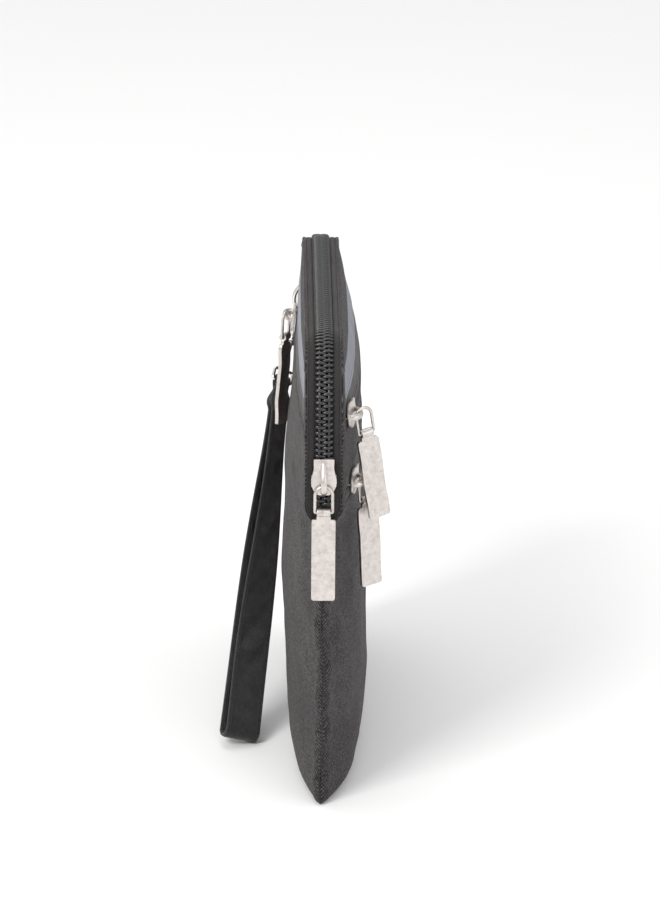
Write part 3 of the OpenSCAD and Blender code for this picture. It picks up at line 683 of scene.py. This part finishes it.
# ---------------------------------------------------------------- sliders, loops and tabs
SLIDER_Z = [-6, -5.7, -5.2, -4.4, -3.2, -1.9, -0.6, 0.8, 2.2, 3.4, 5.6, 6]
SLIDER_HALF = [1.5, 2.2, 2.75, 3.25, 3.75, 4.0, 3.95, 3.6, 3.25, 3.15, 3.25, 3.1]
BRIDGE = resample([[4.3, -0.1], [3.4, 0.5], [2.1, 1.55], [0.6, 2.45], [-1.2, 2.9], [-2.9, 2.8],
                   [-4.2, 2.1], [-4.85, 1.0], [-4.9, -0.2]], 0.35)


def slider(name, above, below, turn, to, body):
    """Drawn with its tail up Z, its width along X and its outside along -Y."""
    build = Build()
    z = np.linspace(-6, 6, 41)[:, None]
    half = np.interp(z, SLIDER_Z, SLIDER_HALF)
    x = half * np.sin(np.linspace(-1, 1, 17) * math.pi / 2)[None]
    dome = 0.22 * (1 - (x / half) ** 2) * ramp(0, 2, 6 - np.abs(z))
    outside, inside = above + 0.3, below + 0.3
    full = np.broadcast_to(z, x.shape)
    for near, far, bulge in ((-outside, -outside - PLATE_T + 0.2, -dome),
                             (inside, inside + PLATE_T - 0.2, dome)):
        verts, faces = slab(np.stack([x, far + bulge, full], -1),
                            np.stack([x, near + 0 * x, full], -1))
        build.add(verts, faces)
    build.add(*block((-0.25, -outside - 0.1, -5.3), (0.25, inside + 0.1, -3.1)))
    for s in (-1, 1):
        lo, hi = sorted((s * 3.4, s * 3.9))
        if outside > TAPE / 2 + 0.7:
            build.add(*block((lo, -outside - 0.1, -3.4), (hi, -TAPE / 2 - 0.5, 0.4)))
        build.add(*block((lo, TAPE / 2 + 0.5, -3.4), (hi, inside + 0.1, 0.4)))
    path = np.stack([0 * BRIDGE[:, 0], -outside - PLATE_T - BRIDGE[:, 1] + 0.15, BRIDGE[:, 0]], -1)
    t = np.linspace(0, 1, len(path))
    wide = np.interp(t, [0, 0.25, 0.6, 0.85, 1], [0.75, 1.05, 0.95, 1.0, 1.1])
    deep = np.interp(t, [0, 0.25, 0.6, 0.85, 1], [0.5, 0.62, 0.62, 0.7, 0.8])
    build.add(*sweep(path, np.stack([wide, deep], -1), (1, 0, 0), sides=16))
    build.moved(turn, to)
    node = body
    build.piece(name, NICKEL, body, [node], "satin_nickel", bevel=0.14)


def pull_loop(name, turn, to, body):
    a = np.linspace(0, math.pi, 25)
    top = np.stack([LOOP_R * np.cos(a), -LOOP_R + LOOP_R * np.sin(a)], -1)
    low = -LOOP_DROP
    corner = np.linspace(0, math.pi / 2, 7)[1:]
    left = [(-LOOP_R, z) for z in np.linspace(-LOOP_R - 0.6, low + 0.7, 8)]
    left += [(-LOOP_R + 0.5 * (1 - math.cos(c)), low + 0.5 - 0.5 * math.sin(c)) for c in corner]
    right = [(-x, z) for x, z in left[::-1]]
    flat = np.vstack([top, left, right])
    path = np.stack([flat[:, 0], 0 * flat[:, 0], flat[:, 1]], -1)
    build = Build().add(*sweep(path, np.full((len(path), 2), LOOP_WIRE), (0, 1, 0), closed=True,
                               sides=14))
    build.moved(turn, to).piece(name, NICKEL, body, [body], "satin_nickel")


def pull_tab(name, turn, to, body, seed):
    build = Build()
    z = -2.2 - TAB_LEN * np.concatenate([[0, 0.004, 0.012, 0.026], np.linspace(0.05, 0.95, 34),
                                         [0.974, 0.988, 0.996, 1]])[:, None]
    end = np.minimum(-2.2 - z, z + 2.2 + TAB_LEN)
    half = TAB_W / 2 - 0.9 + np.sqrt(np.maximum(0, 0.81 - (0.9 - np.minimum(end, 0.9)) ** 2))
    x = half * np.linspace(-1, 1, 13)[None]
    zz = np.broadcast_to(z, x.shape)
    bend = 0.2 * np.sin((zz + seed * 7) / 3.6) + 0.1 * waves(x * 2, zz, seed, 9)
    bend = bend * ramp(0, 5, -2.2 - zz)
    rim = 0.09 * ramp(0.75, 0.95, np.abs(x) / half)
    verts, faces = slab(np.stack([x, bend - TAB_T / 2 + 0.06 - rim, zz], -1),
                        np.stack([x, bend + TAB_T / 2 - 0.06 + rim, zz], -1))
    build.add(verts, faces, np.concatenate([np.stack([zz, x], -1).reshape(-1, 2)] * 2))
    # Neck, and the eye rolled round the loop's lower bar
    neck_z = np.linspace(-0.9, -2.9, 8)[:, None]
    neck_x = (2.1 - 0.12 * np.sin((neck_z + 0.9) * 1.57))* np.linspace(-1, 1, 7)[None]
    neck = np.broadcast_to(neck_z, neck_x.shape)
    verts, faces = slab(np.stack([neck_x, 0 * neck_x - TAB_T / 2 + 0.05, neck], -1),
                        np.stack([neck_x, 0 * neck_x + TAB_T / 2 - 0.05, neck], -1))
    build.add(verts, faces)
    barrel = np.array([(0.62, -2.1), (1.2, -2.1), (1.33, -1.95), (1.35, 0), (1.33, 1.95),
                       (1.2, 2.1), (0.62, 2.1), (0.62, -2.1)])
    verts, faces = lathe(barrel, 28)
    build.add(verts[:, [2, 1, 0]], faces[:-2], verts[:, [2, 1]])
    build.moved(turn, to)
    build.piece(name, NICKEL, body, [body], "satin_nickel", bevel=0.16)


QUARTER = rot_z(90)
main_at = np.array([-HALF_W + TAPE / 2, 0, 114.5])
main_above, main_below = CHAIN_RISE + TAPE / 2, CHAIN_SINK - TAPE / 2
slider("main_slider_body", main_above, main_below, rot_z(-90), main_at, "main_slider")
main_pivot = main_at + [-(main_above + 0.3 + PLATE_T + 1), 0, BRIDGE_UP - 1]
pull_loop("main_pull_wire", QUARTER, main_pivot, "main_pull_loop")
pull_tab("main_pull_plate", rot_z(-90), main_pivot - [0, 0, LOOP_DROP], "main_pull_tab", 3)

# Side, x, z, lean and turn of each pocket pull, in degrees
PULLS = {"front_upper": (FRONT, -60.5, UPPER_ZIP[0], 10, 28),
         "front_lower": (FRONT, -56, LOWER_ZIP[0], 4, 32), "back": (BACK, 31, UPPER_ZIP[0], 7, 66)}
HANG_UP, BRIDGE_SHIFT, POCKET_ABOVE, POCKET_BELOW = 1.7, 1.8, TAPE / 2 + 0.3, 2.0
# A slider's one tilt for its whole run: the share it takes from the middle of the face
TILT_SHARE = 0.65
for seed, (word, (side, x, z, lean, swing)) in enumerate(PULLS.items()):
    on = float(face(side, x, z)) - 0.1 - TAPE / 2
    turn = side * math.degrees(math.atan(float(face(side, x + 1, z) - face(side, x - 1, z)) / 2))
    tilts = [math.degrees(math.atan(float(face(side, at_x, z + 1) - face(side, at_x, z - 1)) / 2))
             for at_x in (x, 0)]
    tilt = (1 - TILT_SHARE) * tilts[0] + TILT_SHARE * tilts[1]
    half_turn = 180 if side == BACK else 0
    at = np.array([x, side * on, z])
    slider(f"{word}_slider_body", POCKET_ABOVE, POCKET_BELOW,
           rot_z(turn + half_turn) @ rot_x(tilt) @ rot_y(90), at, f"{word}_slider")
    away = rot_z(turn + half_turn) @ [0, -1, 0]
    along = rot_z(turn + half_turn) @ [1, 0, 0]
    pivot = at + away * (POCKET_ABOVE + 0.3 + PLATE_T + 1) - along * BRIDGE_SHIFT
    hang = rot_z(half_turn + swing) @ rot_x(-lean)
    loop_at = pivot + hang @ [0, -LOOP_R, HANG_UP]
    tab_at = pivot + hang @ [0, -LOOP_R, HANG_UP - LOOP_DROP]
    pull_loop(f"{word}_pull_wire", hang @ QUARTER, loop_at, f"{word}_pull_loop")
    pull_tab(f"{word}_pull_plate", hang @ QUARTER, tab_at, f"{word}_pull_tab", 5 + seed)

# ---------------------------------------------------------------- ring, clasp and strap
RING_R, RING_WIRE = 6.7, 0.85
ring_c = np.array([HALF_W + 5, 1.8, 121.1])
a = np.linspace(0, 2 * math.pi, 72, endpoint=False)
circle = ring_c + np.stack([0 * a, RING_R * np.cos(a), RING_R * np.sin(a)], -1)
Build().add(*sweep(circle, np.full((72, 2), RING_WIRE), (1, 0, 0), closed=True, sides=16)).piece(
    "hanging_ring_wire", STEEL, "ring", ["hanging_ring"], "polished_steel")

# The sewn tab: webbing folded down round the ring's wire and back up
wire_z = ring_c[2] + RING_R
turn_r = 1.45 + 0.33
low_arc = [(ring_c[0] - turn_r * math.cos(t), wire_z - turn_r * math.sin(t))
           for t in np.linspace(0, math.pi, 13)]
tab_path = resample([(ring_c[0] - 6.45, 137.0), (ring_c[0] - 4.4, 133.3)] + low_arc
                    + [(ring_c[0] - 2.6, 133.4), (ring_c[0] - 5.75, 137.0)], 0.5)


def webbing(path, widths, thick, across, seed, ruck=0.0, closed=False):
    """Folded webbing along a path: rounded edges, a stitched groove inside each, soft rucks."""
    path = np.asarray(path, float)
    n = len(path)
    tangent = (np.roll(path, -1, 0) - np.roll(path, 1, 0)) if closed else np.gradient(path, axis=0)
    tangent /= np.linalg.norm(tangent, axis=1)[:, None]
    normal = np.cross(tangent, across)
    s = np.concatenate([[0], np.cumsum(np.linalg.norm(np.diff(path, axis=0), axis=1))])[:, None]
    q = np.sin(np.linspace(-1, 1, 21) * math.pi / 2)[None]
    t = q * np.asarray(widths)[:, None] / 2
    edge = np.asarray(widths)[:, None] / 2 - np.abs(t)
    body = thick / 2 * np.clip(1 - np.exp(-edge / 0.22) * 0.75, 0, 1)
    groove = 0.13 * np.exp(-((edge - 1.25) / 0.28) ** 2)
    calm = np.clip(np.asarray(widths)[:, None] / 12, 0, 1) ** 3 * ramp(0.6, 3.2, edge)
    wrinkle = ruck * (0.65 * np.sin(s / 2.35 + t / 2.1 + 1.6 * waves(s, t, seed, 21))
                      * (0.5 + 0.5 * waves(s, t, seed + 1, 17)) + 0.35 * waves(s, t, seed + 2, 6))
    shift = wrinkle * calm
    base = path[:, None] + np.asarray(across) * t[..., None]
    outer = base + normal[:, None] * (body - groove + shift)[..., None]
    inner = base + normal[:, None] * (-body + groove + shift * 0.6)[..., None]
    ring = np.concatenate([outer, inner[:, ::-1]], 1)
    m = ring.shape[1]
    spans = range(n) if closed else range(n - 1)
    faces = [(i * m + j, i * m + (j + 1) % m, (i + 1) % n * m + (j + 1) % m, (i + 1) % n * m + j)
             for i in spans for j in range(m)]
    if not closed:
        faces += [tuple(range(m))[::-1], tuple((n - 1) * m + j for j in range(m))]
    uv_t = np.concatenate([t, t[:, ::-1]], 1)
    uv = np.stack([np.broadcast_to(s, uv_t.shape), uv_t], -1)
    return ring.reshape(-1, 3), faces, uv.reshape(-1, 2), normal


tab3 = np.stack([tab_path[:, 0], np.full(len(tab_path), ring_c[1]), tab_path[:, 1]], -1)
verts, faces, uv, _ = webbing(tab3, np.full(len(tab3), 5.0), 0.62, np.array([0, 1, 0]), 71)
Build().add(verts, faces, uv).piece("ring_tab_webbing", STRAP, "pouch", ["ring_tab"],
                                    "strap_webbing")

hook_angle = math.radians(40)
hook_c = ring_c + RING_R * np.array([0, math.cos(hook_angle), -math.sin(hook_angle)])
wire_dir = np.array([0, math.sin(hook_angle), math.cos(hook_angle)])
strap_top, strap_low = np.array([HALF_W - 15, 13.2, 97]), np.array([-25.5, 26.8, 2.1])
clasp_len = np.linalg.norm(strap_top - hook_c)
clasp_dir = (strap_top - hook_c) / clasp_len
clasp_side = unit(np.cross(clasp_dir, np.cross(wire_dir, clasp_dir)))
clasp_flat = np.cross(clasp_side, clasp_dir)
clasp_turn = np.stack([clasp_flat, unit(np.cross(-clasp_dir, clasp_flat)), -clasp_dir], 1)
HOOK_R, HOOK_WIRE, BARREL_LOW = 2.1, 0.65, -12.0
STRAP_EYE_R = 1.1
eye_drop = clasp_len - STRAP_EYE_R - 0.5

a = np.linspace(0, math.pi, 17)
hook = [(-HOOK_R, -10.0), (-HOOK_R, -7.0), (-HOOK_R, -4.0), (-HOOK_R, -1.5)]
hook += [(-HOOK_R * math.cos(t), -0.15 + HOOK_R * math.sin(t)) for t in a]
hook += [(HOOK_R, -0.8), (HOOK_R, -1.35)]
hook_path = np.array([(x, 0, z) for x, z in hook])
hook_build = Build().add(*sweep(hook_path, np.full((len(hook_path), 2), HOOK_WIRE), (0, 1, 0),
                                sides=14))
verts, faces = lathe([(0.75, BARREL_LOW), (1.6, BARREL_LOW), (1.9, BARREL_LOW + 0.3), (1.9, -11.1),
                      (1.72, -10.95), (1.72, -10.75), (1.9, -10.6), (1.9, -8.95), (1.6, -8.6),
                      (0.75, -8.6)])
hook_build.add(verts, faces)
for s in (-1, 1):
    ear = sorted((s * 0.82, s * 1.32))
    hook_build.add(*block((HOOK_R - 0.9, ear[0], -8.95), (HOOK_R + 0.5, ear[1], -7.15)))
hook_build.moved(clasp_turn, hook_c).piece("clasp_hook_body", STEEL, "clasp_hook", ["clasp_hook"],
                                           "polished_steel", bevel=0.12)

gate = np.array([(HOOK_R, 0, z) for z in np.linspace(-7.75, -2.5, 9)])
gate_size = np.interp(gate[:, 2], [-7.75, -7, -2.9, -2.5], [0.62, 0.5, 0.5, 0.4])
gate_build = Build().add(*sweep(gate, np.stack([gate_size] * 2, -1), (0, 1, 0), sides=12))
thumb = np.array([(HOOK_R + 0.3, 0, -5.2), (HOOK_R + 0.75, 0, -5.15)])
gate_build.add(*sweep(thumb, np.full((2, 2), 0.42), (0, 1, 0), sides=12))
gate_pin = np.array([(HOOK_R, y, -7.75) for y in (-0.6, 0, 0.6)])
gate_build.add(*sweep(gate_pin, np.full((3, 2), 0.5), (0, 0, 1), sides=12))
gate_build.moved(clasp_turn, hook_c).piece("clasp_gate_lever", STEEL, "clasp_gate", ["clasp_gate"],
                                           "polished_steel")

eye_c = hook_c + clasp_dir * eye_drop
strap_len = np.linalg.norm(strap_low - eye_c)
strap_dir = (strap_low - eye_c) / strap_len
hint = np.array([-0.2, 0.892, 0.405])
strap_across = unit(hint - strap_dir * (hint @ strap_dir))
strap_normal = np.cross(strap_dir, strap_across)
eye_bar = unit(strap_across - clasp_dir * (strap_across @ clasp_dir))
swivel_turn = np.stack([np.cross(eye_bar, -clasp_dir), eye_bar, -clasp_dir], 1)
neck_z = -eye_drop + 4.2
bend = 0.9
frame_pts = []
for cy, cz, start in ((2.5, neck_z - bend, 0), (-2.5, neck_z - bend, 90),
                      (-2.5, -eye_drop + bend, 180), (2.5, -eye_drop + bend, 270)):
    for t in np.radians(np.linspace(start, start + 90, 7)):
        frame_pts.append((0, cy + bend * math.cos(t), cz + bend * math.sin(t)))
frame_pts = np.array(frame_pts)
swivel = Build().add(*sweep(frame_pts, np.full((len(frame_pts), 2), 0.6), (1, 0, 0), closed=True,
                            sides=12))
verts, faces = lathe([(0.4, neck_z - 0.5), (1.0, neck_z - 0.2), (1.1, neck_z + 0.4),
                      (0.7, neck_z + 1.2), (0.65, BARREL_LOW - 1.1), (1.2, BARREL_LOW - 0.9),
                      (1.2, BARREL_LOW - 0.3), (0.65, BARREL_LOW - 0.2), (0.65, -8.5), (1.1, -8.45),
                      (1.1, -8.1), (0.7, -7.9)])
swivel.add(verts, faces)
swivel.moved(swivel_turn, hook_c).piece("clasp_swivel_eye", STEEL, "clasp_swivel",
                                        ["clasp_swivel"], "polished_steel")

# The strap is one length of folded webbing: round the swivel's eye, sewn together below it,
# and open from there to the round fold at the bottom
LAYER, GAP, SEWN_TO, THROAT, SHOULDER = 1.1, 4.6, 15.0, 5.1, 7.0
TWIST = math.radians(42)
fold_z = -strap_len + GAP / 2 + LAYER
mid_gap = GAP / 2 + LAYER / 2
eye_mid = STRAP_EYE_R + LAYER / 2
sewn_mid = 0.08 + LAYER / 2
down = [(sewn_mid, -3.2), (sewn_mid, -7), (sewn_mid, -11), (sewn_mid, -SEWN_TO + 0.5)]
for z in np.linspace(-SEWN_TO - 8, fold_z, 12):
    t = (z + SEWN_TO) / (fold_z + SEWN_TO)
    sag = 0.35 * math.sin(math.pi * t) * math.sin(5 * t)
    down.append((sewn_mid + (mid_gap - sewn_mid) * t + sag, z))
fold = [(mid_gap * math.cos(t), fold_z - mid_gap * math.sin(t))
        for t in np.linspace(0.25, math.pi - 0.25, 9)]
up = [(-x, z) for x, z in down[::-1]]
over = [(-eye_mid * math.cos(t), eye_mid * math.sin(t)) for t in np.linspace(-0.5, math.pi + 0.5, 15)]
loop = resample(np.array(down + fold + up + over + [down[0]]), 0.8)[:-1]
strap_turn = np.stack([strap_normal, -strap_dir, strap_across], 1)
path3 = np.stack([loop[:, 0], loop[:, 1], 0 * loop[:, 0]], -1)
# Below the throat the strap turns on itself and comes round again towards its fold
twist = -TWIST * ramp(4, 13, -loop[:, 1]) * (1 - ramp(14, 105, -loop[:, 1]))
widths = np.interp(-loop[:, 1], [-9, 3.4, 3.4 + SHOULDER, 400], [THROAT, THROAT, 12, 12])
RUCK = 0.75
verts, faces, uv, normal = webbing(path3, widths, LAYER, np.array([0, 0, 1.0]), 41, RUCK, closed=True)


def twisted(points, height):
    """Turns points about the strap's own line by the twist at that height."""
    angle = np.interp(height, *TWIST_AT)
    c, s = np.cos(angle), np.sin(angle)
    return np.stack([c * points[:, 0] + s * points[:, 2], points[:, 1],
                     c * points[:, 2] - s * points[:, 0]], -1)


order = np.argsort(-loop[:, 1])
TWIST_AT = (-loop[order, 1], twist[order])
verts = twisted(verts, -verts[:, 1])
strap = Build().add(verts, faces, uv).moved(strap_turn, eye_c).piece(
    "wrist_strap_webbing", STRAP, "wrist_strap", ["wrist_strap"], "strap_webbing")

stitches = Build()
for sign in (-1, 1):
    for i in np.arange(0, len(path3) - 3, 3):
        if widths[i] < 11.9:
            continue
        here = path3[i:i + 3]
        for out in (-1, 1):
            pts = here + np.array([0, 0, sign * (widths[i] / 2 - 1.25)]) + normal[i:i + 3] * out * (
                LAYER / 2 - 0.06)
            pts = twisted(pts, -pts[:, 1])
            stitches.add(*sweep(pts, np.full((3, 2), 0.15), (0, 0, 1), sides=6))
stitch_obj = stitches.moved(strap_turn, eye_c).piece("wrist_strap_stitching", THREAD,
                                                     "wrist_strap", slot="strap_webbing")

# ---------------------------------------------------------------- CAD pieces that stay
KEPT = {"front_lining": LINING, "back_lining": LINING, "front_upper_pocket_bag": LINING,
        "front_lower_pocket_bag": LINING, "back_pocket_bag": LINING,
        "front_upper_zip_coil": SLATE_COIL, "back_zip_coil": SLATE_COIL,
        "front_lower_zip_coil": BLACK_COIL}
for name, mat in KEPT.items():
    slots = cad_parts[name].data.materials
    slots.clear()
    slots.append(mat)

# ---------------------------------------------------------------- floor, light and camera
floor_mesh = bpy.data.meshes.new("floor")
floor_mesh.from_pydata([(-4, -4, 0), (4, -4, 0), (4, 4, 0), (-4, 4, 0)], [], [(0, 1, 2, 3)])
floor = bpy.data.objects.new("floor", floor_mesh)
bpy.context.scene.collection.objects.link(floor)
paper, nodes, links, shader = material("white_paper")
links.new(blend_colours(nodes, links, noise(nodes, links, 400), (0.90, 0.90, 0.90),
                        (0.93, 0.93, 0.93)), shader.inputs["Base Color"])
shader.inputs["Roughness"].default_value = 0.9
shader.inputs["Specular IOR Level"].default_value = 0.1
floor_mesh.materials.append(paper)


def area_light(name, at, aim, size, watts, colour=(1, 1, 1)):
    data = bpy.data.lights.new(name, "AREA")
    data.energy, data.size, data.color = watts, size, colour
    lamp = bpy.data.objects.new(name, data)
    bpy.context.scene.collection.objects.link(lamp)
    lamp.location = at
    lamp.rotation_euler = (Vector(aim) - Vector(at)).to_track_quat("-Z", "Y").to_euler()


area_light("key", (-0.75, 0.65, 0.95), (0, 0, 0.07), 0.45, 8.5, (1, 0.985, 0.97))
area_light("fill", (-0.9, -0.8, 0.5), (0, 0, 0.08), 0.8, 2.6)
area_light("top", (0.3, 0.1, 1.3), (0, 0, 0.1), 0.7, 3.0)

world = bpy.data.worlds.new("studio")
bpy.context.scene.world = world
world.use_nodes = True
world.node_tree.nodes["Background"].inputs["Color"].default_value = (1, 1, 1, 1)
world.node_tree.nodes["Background"].inputs["Strength"].default_value = 0.8

ELEVATION, YAW, ROLL = math.radians(21.0), math.radians(-0.917), math.radians(0.512)
TARGET, DISTANCE = Vector((-0.072, -0.00185, 0.12298)), 1.4
forward = Vector((math.cos(ELEVATION) * math.cos(YAW), math.cos(ELEVATION) * math.sin(YAW),
                  -math.sin(ELEVATION)))
level = forward.cross(Vector((0, 0, 1))).normalized()
rise = level.cross(forward)
right = level * math.cos(ROLL) + rise * math.sin(ROLL)
above = rise * math.cos(ROLL) - level * math.sin(ROLL)
camera_data = bpy.data.cameras.new("camera")
camera_data.sensor_fit = "VERTICAL"
camera_data.sensor_height = 36
camera_data.lens = 179.2
camera_data.clip_start, camera_data.clip_end = 0.05, 20
camera = bpy.data.objects.new("camera", camera_data)
bpy.context.scene.collection.objects.link(camera)
camera.matrix_world = Matrix.Translation(TARGET - forward * DISTANCE) @ Matrix(
    (right, above, -forward)).transposed().to_4x4()
bpy.context.scene.camera = camera
bpy.context.scene.view_settings.view_transform = "Standard"
